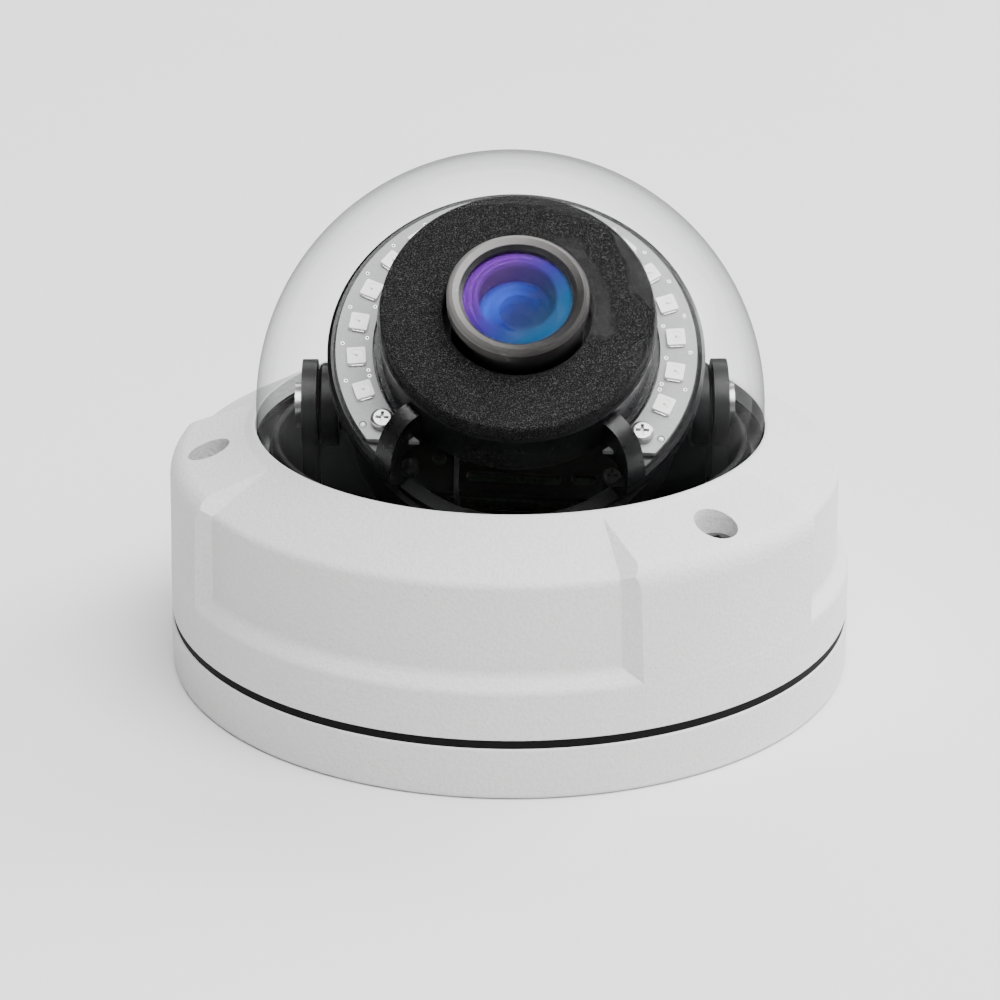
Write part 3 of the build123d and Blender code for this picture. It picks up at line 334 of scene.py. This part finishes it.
def glass_with_painted_reflection(name, near, middle, far, clear_radius, edge_radius, alpha):
    """Lens glass with a painted reflection: the coating's colour runs from one hue at its upper left to
    another at its lower right, and clears towards its middle.
    """
    material, tree, shader = new_material(name, Roughness=0.07, Specular_IOR_Level=0.03)
    here = space(tree, HEAD)
    radius, _ = along_axis(tree, here)
    painted_reflection_hue = ramp(tree, slant_across(tree, here, edge_radius), (0.1, near), (0.5, middle), (0.9, far))
    rings = noise_along(tree, radius, 0.9, 1.0)
    cover = spread(tree, radius, clear_radius - 0.5, clear_radius + 0.5, *alpha)
    feed(
        tree,
        shader,
        Base_Color=blend_colours(tree, spread(tree, rings, 0.3, 0.75, 0.0, 0.5), painted_reflection_hue, RING_INK),
        Alpha=maths(tree, "MULTIPLY", cover, spread(tree, rings, 0.2, 0.8, 1.0, 0.85)),
    )
    return material


def circuit(name, mask, track, per_mm):
    """Solder mask over copper: blocky tracks show through as a lighter tone and a slight step."""
    material, tree, shader = new_material(name, Specular_IOR_Level=0.5, Coat_Weight=0.25, Coat_Roughness=0.25)
    here = space(tree)
    inputs = {"Vector": here, "Scale": per_mm}
    maze = node(tree, "ShaderNodeTexVoronoi", inputs, distance="CHEBYCHEV").outputs["Distance"]
    copper = spread(tree, maths(tree, "PINGPONG", maze, 0.16), 0.07, 0.085)
    weave = noise(tree, here, 2.4)
    tone = maths(tree, "MULTIPLY", copper, over_noise(tree, weave, 0.75, 1.0))
    feed(
        tree,
        shader,
        Base_Color=ramp(tree, tone, (0.0, mask), (1.0, track)),
        Roughness=over_noise(tree, weave, 0.38, 0.5),
        Normal=relief(tree, copper, 30, 0.5),
    )
    return material


BLACK = (0.003, 0.003, 0.0032)
MATT = {"Specular_IOR_Level": 0.15}
SATIN = {"Specular_IOR_Level": 0.3}
METAL = {"Metallic": 1.0}
MATERIALS = {
    "white_housing": powder_coat(),
    "black_rubber": grained(
        "black_rubber", (0.001, 0.001, 0.001), (0.003, 0.003, 0.003), 2.2, 40, (0.7, 0.85), **MATT
    ),
    "foam": foam(),
    "clear_dome": clear_dome(),
    "black_moulded": grained(
        "black_moulding", BLACK, (0.008, 0.008, 0.0084), 1.6, 30, (0.38, 0.52), HEAD, **SATIN
    ),
    "black_gloss": grained(
        "black_satin_moulding", BLACK, (0.007, 0.007, 0.0074), 1.3, 14, (0.25, 0.36), HEAD, **SATIN
    ),
    "liner_black": grained(
        "dark_liner", (0.004, 0.004, 0.0043), (0.008, 0.008, 0.0085), 1.4, 30, (0.45, 0.6), **MATT
    ),
    "lens_black": turned(
        "black_anodised", (0.004, 0.004, 0.0045), (0.012, 0.012, 0.013), (0.32, 0.44), 5.0, **SATIN
    ),
    "bezel": bezel_with_painted_shade(),
    "circuit_board": grained(
        "pale_solder_mask", (0.25, 0.253, 0.253), (0.32, 0.324, 0.324), 1.8, 20, (0.4, 0.52), HEAD
    ),
    "green_board": circuit("green_solder_mask", (0.003, 0.022, 0.009), (0.012, 0.06, 0.026), 0.42),
    "chip": grained("moulded_epoxy", (0.014, 0.014, 0.015), (0.03, 0.03, 0.031), 4.0, 20, (0.45, 0.6)),
    "connector": grained("ivory_nylon", (0.66, 0.63, 0.54), (0.76, 0.73, 0.64), 1.5, 20, (0.4, 0.5)),
    "led_body": grained(
        "white_ceramic", (0.80, 0.80, 0.79), (0.88, 0.88, 0.87), 2.5, 10, (0.25, 0.38), HEAD
    ),
    "led_resin": grained(
        "silicone_window", (0.70, 0.66, 0.64), (0.82, 0.79, 0.77), 1.2, 10, (0.1, 0.2), HEAD, Coat_Weight=0.6
    ),
    "zinc": grained("bright_zinc", (0.30, 0.30, 0.30), (0.46, 0.46, 0.455), 1.7, 10, (0.26, 0.4), **METAL),
    "dark_steel": grained(
        "dark_stainless", (0.10, 0.10, 0.10), (0.2, 0.2, 0.2), 1.7, 10, (0.28, 0.42), **METAL
    ),
    "brass_spacer": grained(
        "bright_brass", (0.55, 0.38, 0.12), (0.72, 0.53, 0.2), 1.4, 10, (0.25, 0.38), **METAL
    ),
    "lever_metal": grained(
        "black_nickel", (0.05, 0.05, 0.055), (0.12, 0.12, 0.125), 1.4, 10, (0.25, 0.4), Metallic=0.9
    ),
    "wire": grained("grey_insulation", (0.10, 0.10, 0.105), (0.16, 0.16, 0.17), 1.2, 10, (0.4, 0.55)),
    "washer": grained("nylon_washer", (0.03, 0.03, 0.03), (0.05, 0.05, 0.05), 1.2, 20, (0.45, 0.55)),
}
# Hues of the painted reflections in the lens glass; the bright blue is a painted glint of a softbox.
PURPLE, VIOLET, TEAL = (0.17, 0.03, 0.42), (0.035, 0.02, 0.30), (0.005, 0.09, 0.24)
PAINTED_BLUE_GLINT, DEEP_BLUE = (0.01, 0.14, 1.0), (0.003, 0.02, 0.22)
BLUE, NAVY = (0.01, 0.03, 0.30), (0.001, 0.003, 0.03)
AMBER, GREEN = (0.3, 0.05, 0.02), (0.02, 0.2, 0.1)
GLASS = {
    "front_element": glass_with_painted_reflection("purple_painted_reflection_glass", PURPLE, VIOLET, TEAL, 7.6, 10.5, (0.10, 0.72)),
    "second_element": glass_with_painted_reflection("blue_painted_reflection_glass", PAINTED_BLUE_GLINT, DEEP_BLUE, NAVY, 3.7, 7.7, (0.55, 0.97)),
    "rear_element": glass_with_painted_reflection("rear_painted_reflection_glass", BLUE, NAVY, TEAL, 3.0, 6.0, (0.5, 0.8)),
    "infrared_filter": glass_with_painted_reflection("filter_glass", AMBER, NAVY, GREEN, 4.0, 7.6, (0.5, 0.8)),
}

SMOOTH_ANGLE = math.radians(32)

for part in frame["record"]["subparts"]:
    name = part["node"]
    mesh = nodes[name].data
    mesh.materials.clear()
    mesh.materials.append(GLASS.get(name) or MATERIALS[part["material_slot"]])


# ---------------------------------------------------------------- mesh helpers
def finish_piece(name, mesh, matrix, body, slot, material=None):
    """Puts a bmesh, drawn in millimetres in the frame of matrix, into the scene as a piece of that body."""
    mesh.transform(matrix @ Matrix.Scale(MM, 4))
    data = bpy.data.meshes.new(name)
    mesh.to_mesh(data)
    mesh.free()
    data.shade_smooth()
    data.set_sharp_from_angle(angle=SMOOTH_ANGLE)
    piece = bpy.data.objects.new(name, data)
    bpy.context.scene.collection.objects.link(piece)
    data.materials.append(material or MATERIALS[slot])
    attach(piece, body)


def add_bevelled_box(mesh, centre, size, turn=0.0, bevel=0.05):
    """A box with rounded edges, turned about z."""
    place = Matrix.Translation(centre) @ Matrix.Rotation(turn, 4, "Z") @ Matrix.Diagonal((*size, 1.0))
    made = bmesh.ops.create_cube(mesh, size=1.0, matrix=place)
    edges = list(dict.fromkeys(edge for vert in made["verts"] for edge in vert.link_edges))
    bmesh.ops.bevel(mesh, geom=edges, offset=bevel, segments=2, profile=0.6, affect="EDGES")


def add_strip(mesh, points, width, low, high):
    """A flat ribbon of copper that follows points in the local xy plane."""
    rows = []
    for i, point in enumerate(points):
        before = points[max(i - 1, 0)]
        after = points[min(i + 1, len(points) - 1)]
        side = Vector((before[1] - after[1], after[0] - before[0])).normalized() * width / 2
        left = (point[0] + side.x, point[1] + side.y)
        right = (point[0] - side.x, point[1] - side.y)
        corners = (*left, low), (*left, high), (*right, high), (*right, low)
        rows.append([mesh.verts.new(corner) for corner in corners])
    for row, following in zip(rows, rows[1:]):
        for k in range(4):
            mesh.faces.new((row[k], row[(k + 1) % 4], following[(k + 1) % 4], following[k]))
    mesh.faces.new(rows[0][::-1])
    mesh.faces.new(rows[-1])


def add_loop(mesh, centre, radius, height, steps):
    """A level circle of new vertices."""
    turns = [2 * math.pi * k / steps for k in range(steps)]
    spots = [(centre[0] + radius * math.cos(a), centre[1] + radius * math.sin(a), height) for a in turns]
    return [mesh.verts.new(spot) for spot in spots]


def bridge(mesh, loop, following):
    """Faces between two loops of the same length."""
    steps = len(loop)
    for k in range(steps):
        j = (k + 1) % steps
        mesh.faces.new((loop[k], loop[j], following[j], following[k]))


def add_ring(mesh, centre, outer, inner, low, high, steps=24):
    """A flat washer shape, closed all round."""
    profile = (outer, low), (outer, high), (inner, high), (inner, low)
    loops = [add_loop(mesh, centre, radius, height, steps) for radius, height in profile]
    for loop, following in zip(loops, loops[1:] + loops[:1]):
        bridge(mesh, loop, following)


def add_dome(mesh, centre, radius, low, high, rings=4, steps=24):
    """A button: a short round wall under a low crown."""
    profile = [(radius, low)]
    for i in range(rings):
        angle = math.pi / 2 * i / rings
        profile.append((radius * math.cos(angle), low + (high - low) * (0.5 + 0.5 * math.sin(angle))))
    loops = [add_loop(mesh, centre, *place, steps) for place in profile]
    for loop, following in zip(loops, loops[1:]):
        bridge(mesh, loop, following)
    mesh.faces.new(loops[0][::-1])
    mesh.faces.new(loops[-1])


def polar(radius, degrees):
    """The x and y of a point on a circle about the lens axis."""
    return radius * math.cos(math.radians(degrees)), radius * math.sin(math.radians(degrees))


ARC_STEP = 1.5  # degrees


def arc(radius, start, end):
    """Points along a circle about the lens axis, from one angle to another."""
    count = max(2, round(abs(end - start) / ARC_STEP))
    return [polar(radius, start + (end - start) * k / count) for k in range(count + 1)]


# ---------------------------------------------------------------- lamp board
LED_FACE = 22.2  # front of the lamp board, along the lens axis
LED_CIRCLE = 31.35
LED_PITCH = 14.34  # degrees, as is the next
LOWEST_LED = -21.6
SIDE_LEDS, TOP_LEDS = 5, 7
LED_HALF = 1.8
LED_HEIGHT = 0.9
LED_SCREW = (25.05, -18.0)
LED_PEG = (28.75, -18.9)
COPPER = 0.035
TRACK_WIDTH, GROUND_WIDTH, INNER_WIDTH = 0.16, 0.12, 0.14
BOARD_INNER, BOARD_OUTER = 28.2, 35.4
OUTER_TRACK, GROUND_TRACK = BOARD_OUTER - 0.75, BOARD_OUTER - 0.32
VIA_INNER, VIA_OUTER = BOARD_INNER + 1.15, BOARD_OUTER - 1.35
VIA_BORE = 0.24

highest_side_led = LOWEST_LED + (SIDE_LEDS - 1) * LED_PITCH
top_pitch = (180 - 2 * highest_side_led) / (TOP_LEDS + 1)
side_leds = [LOWEST_LED + LED_PITCH * k for k in range(SIDE_LEDS)]
top_leds = [highest_side_led + top_pitch * (k + 1) for k in range(TOP_LEDS)]
led_angles = side_leds + top_leds + [180 - angle for angle in reversed(side_leds)]

track_material = grained(
    "masked_copper", (0.24, 0.245, 0.245), (0.33, 0.335, 0.335), 1.5, 10, (0.3, 0.4), HEAD
)
land_material = grained(
    "tinned_copper", (0.55, 0.54, 0.52), (0.70, 0.69, 0.67), 1.5, 10, (0.22, 0.35), HEAD, **METAL
)


def add_track(mesh, points, width=TRACK_WIDTH):
    add_strip(mesh, points, width, LED_FACE, LED_FACE + COPPER)


def lamp_tracks():
    """Tracks between neighbouring lamps, and the lines round the board's inner and outer edges."""
    mesh = bmesh.new()
    gap = math.degrees(LED_HALF / LED_CIRCLE)
    for k, (angle, following) in enumerate(zip(led_angles, led_angles[1:])):
        for offset in (-0.95, 0.75) if k % 2 else (-0.8, 0.15, 1.0):
            add_track(mesh, arc(LED_CIRCLE + offset, angle + gap, following - gap))
    first, last = led_angles[0] - 3, led_angles[-1] + 3
    add_track(mesh, arc(OUTER_TRACK, first, last))
    add_track(mesh, arc(GROUND_TRACK, first - 3, last + 3), GROUND_WIDTH)
    add_track(mesh, arc(BOARD_INNER + 0.55, first + 8, last - 8), INNER_WIDTH)
    for side in (-1, 1):
        angle = first if side > 0 else last
        inner = polar(BOARD_INNER + 1.2, angle - side * 1.0)
        middle = polar(LED_CIRCLE, angle - side * 2.4)
        add_track(mesh, [inner, middle, polar(OUTER_TRACK, angle)])
    finish_piece("lamp_board_tracks", mesh, HEAD, "head", "circuit_board", track_material)


def lamp_vias():
    """Plated holes through the lamp board, two or three to each gap between lamps."""
    lands, bores = bmesh.new(), bmesh.new()
    for k, (angle, following) in enumerate(zip(led_angles, led_angles[1:])):
        middle = (angle + following) / 2
        spots = [polar(VIA_INNER, middle - 1.2), polar(VIA_OUTER, middle + 1.5)]
        if k % 3 == 0:
            spots.append(polar(VIA_INNER, middle + 1.4))
        for spot in spots:
            add_ring(lands, spot, 0.36, VIA_BORE, LED_FACE, LED_FACE + COPPER * 1.4, 16)
            add_dome(bores, spot, VIA_BORE, LED_FACE, LED_FACE + COPPER * 0.8, 2, 12)
    finish_piece("lamp_board_vias", lands, HEAD, "head", "zinc", land_material)
    finish_piece("lamp_board_via_bores", bores, HEAD, "head", "chip")


def lamp_leads():
    """Tinned end caps of each lamp, and the die in its window with its bond wire."""
    leads, dies = bmesh.new(), bmesh.new()
    window = LED_FACE + LED_HEIGHT - 0.05
    cap_turn = math.degrees((LED_HALF + 0.12) / LED_CIRCLE)
    # The wires come first: faces made after a bevel fill the places that it freed in no fixed order.
    for angle in led_angles:
        wire = [polar(LED_CIRCLE, angle), polar(LED_CIRCLE + 0.75, angle - 0.6)]
        add_strip(dies, wire, 0.07, window, window + 0.06)
    for angle in led_angles:
        turn = math.radians(angle)
        for side in (-1, 1):
            cap = polar(LED_CIRCLE, angle + side * cap_turn)
            add_bevelled_box(leads, (*cap, LED_FACE + 0.22), (2.6, 0.3, 0.44), turn, 0.06)
        die = polar(LED_CIRCLE, angle)
        add_bevelled_box(dies, (*die, window + 0.02), (0.42, 0.42, 0.06), turn, 0.01)
    finish_piece("lamp_leads", leads, HEAD, "head", "zinc", land_material)
    finish_piece("lamp_dies", dies, HEAD, "head", "led_body", track_material)


def lamp_pegs():
    """White locating pegs of the tray, standing in the holes beside the board screws."""
    pegs, lands = bmesh.new(), bmesh.new()
    for side in (-1, 1):
        spot = (side * LED_PEG[0], LED_PEG[1])
        add_dome(pegs, spot, 0.66, LED_FACE - 1.2, LED_FACE + 0.35)
        add_ring(lands, spot, 0.95, 0.8, LED_FACE, LED_FACE + COPPER)
        screw = (side * LED_SCREW[0], LED_SCREW[1])
        add_ring(lands, screw, 2.6, 2.35, LED_FACE, LED_FACE + COPPER, 36)
    finish_piece("locating_pegs", pegs, HEAD, "head", "led_body")
    finish_piece("screw_lands", lands, HEAD, "head", "circuit_board", track_material)


# ---------------------------------------------------------------- small parts on the main board
BOARD_TOP = 7.6
TAKEN = ((0, 17, 9, 3), (-17, -8, 3, 5), (-17, 4, 3, 5), (15, -6, 6, 6), (2, -19, 4, 3), (14, 8, 4, 3))
CLEARANCE = 1.8
HOLE_CLEAR, SCREWS_CLEAR = 10, 21.5  # radii between which nothing but TAKEN is in the way
SPOT_GRID = range(-20, 21, 4)
CHIP_SIZES = ((1.6, 0.8, 0.5), (2.0, 1.25, 0.7), (1.0, 0.5, 0.4))
CORE_SHARE, CORE_INSET = 0.56, 0.96  # how long the dark middle is, and how thick beside its tinned ends
SCATTER = 0.5
SEED = 11


def free_board_spots():
    """Places on the main board clear of its connectors and chips; TAKEN has their centres and half sizes."""
    for x in SPOT_GRID:
        for y in SPOT_GRID:
            covered = any(
                abs(x - cx) < width + CLEARANCE and abs(y - cy) < height + CLEARANCE
                for cx, cy, width, height in TAKEN
            )
            if HOLE_CLEAR < math.hypot(x, y) < SCREWS_CLEAR and not covered:
                yield x, y


def main_board_parts():
    """Small resistors and capacitors, scattered on the board between its larger parts."""
    draw = random.Random(SEED)
    ends, bodies = bmesh.new(), bmesh.new()
    for x, y in free_board_spots():
        turn = draw.choice((0.0, math.pi / 2))
        length, width, height = draw.choice(CHIP_SIZES)
        spot = Vector((x + draw.uniform(-SCATTER, SCATTER), y + draw.uniform(-SCATTER, SCATTER)))
        along = Vector((math.cos(turn), math.sin(turn)))
        core = length * CORE_SHARE
        middle = BOARD_TOP + height / 2
        add_bevelled_box(bodies, (*spot, middle), (core, width * CORE_INSET, height * CORE_INSET), turn, 0.03)
        for side in (-1, 1):
            centre = spot + along * side * (core + length) / 4
            add_bevelled_box(ends, (*centre, middle), ((length - core) / 2, width, height), turn, 0.04)
    finish_piece("main_board_parts_ends", ends, WORLD, "base", "zinc", land_material)
    finish_piece("main_board_parts_bodies", bodies, WORLD, "base", "chip", MATERIALS["lever_metal"])


lamp_tracks()
lamp_vias()
lamp_leads()
lamp_pegs()
main_board_parts()


# ---------------------------------------------------------------- floor, lights, camera
FLOOR_RADIUS = 9.0
LIT_POINT = Vector((0, 0, 0.05))  # half way up the camera
SOFTBOXES = (  # azimuth, elevation, distance, width, height, power
    ("overhead_softbox", 30, 68, 3.2, 3.4, 2.8, 320),
    ("rear_softbox", 176, 42, 3.2, 2.6, 1.2, 50),
    ("right_softbox", 118, 28, 3.0, 1.7, 1.9, 130),
    ("front_key_softbox", 70, 20, 3.4, 1.2, 1.4, 20),
)


def area_light(name, azimuth, elevation, distance, width, height, power):
    """A softbox that faces the object. Azimuth 0 is the camera's side, and 90 is to its right."""
    data = bpy.data.lights.new(name, "AREA")
    data.shape = "RECTANGLE"
    data.size = width
    data.size_y = height
    data.energy = power
    light = bpy.data.objects.new(name, data)
    bpy.context.scene.collection.objects.link(light)
    a, e = math.radians(azimuth), math.radians(elevation)
    away = Vector((math.sin(a) * math.cos(e), -math.cos(a) * math.cos(e), math.sin(e)))
    light.location = away * distance + LIT_POINT
    light.rotation_euler = away.to_track_quat("Z", "Y").to_euler()


def studio():
    """Pale floor, dim even surround, and the softboxes."""
    mesh = bmesh.new()
    bmesh.ops.create_circle(mesh, cap_ends=True, segments=96, radius=FLOOR_RADIUS)
    data = bpy.data.meshes.new("floor")
    mesh.to_mesh(data)
    mesh.free()
    floor = bpy.data.objects.new("floor", data)
    bpy.context.scene.collection.objects.link(floor)
    material, tree, shader = new_material("pale_floor", Roughness=0.9, Specular_IOR_Level=0.1)
    tone = ramp(tree, noise(tree, space(tree), 0.004), (0.3, (0.70, 0.70, 0.70)), (0.7, (0.72, 0.72, 0.72)))
    feed(tree, shader, Base_Color=tone)
    data.materials.append(material)

    world = bpy.data.worlds.new("studio")
    world.use_nodes = True
    world.node_tree.nodes["Background"].inputs["Color"].default_value = (1.0, 1.0, 1.0, 1.0)
    world.node_tree.nodes["Background"].inputs["Strength"].default_value = 0.04
    bpy.context.scene.world = world

    for softbox in SOFTBOXES:
        area_light(*softbox)


CAMERA_PLACE = Vector((0.0, -0.52854, 0.24764))
CAMERA_TARGET = Vector((0.0, 0.0, 0.035))
CAMERA_ROLL = math.radians(0.23)
LENS_MM, SENSOR_MM = 99.92, 36.0
SHIFT = (-0.0101, -0.0137)


def camera():
    """The photo's viewpoint."""
    data = bpy.data.cameras.new("camera")
    data.lens = LENS_MM
    data.sensor_width = SENSOR_MM
    data.shift_x, data.shift_y = SHIFT
    made = bpy.data.objects.new("camera", data)
    bpy.context.scene.collection.objects.link(made)
    made.location = CAMERA_PLACE
    aim = (CAMERA_TARGET - CAMERA_PLACE).to_track_quat("-Z", "Y")
    made.rotation_euler = (aim @ Matrix.Rotation(CAMERA_ROLL, 3, "Z").to_quaternion()).to_euler()
    bpy.context.scene.camera = made


studio()
camera()
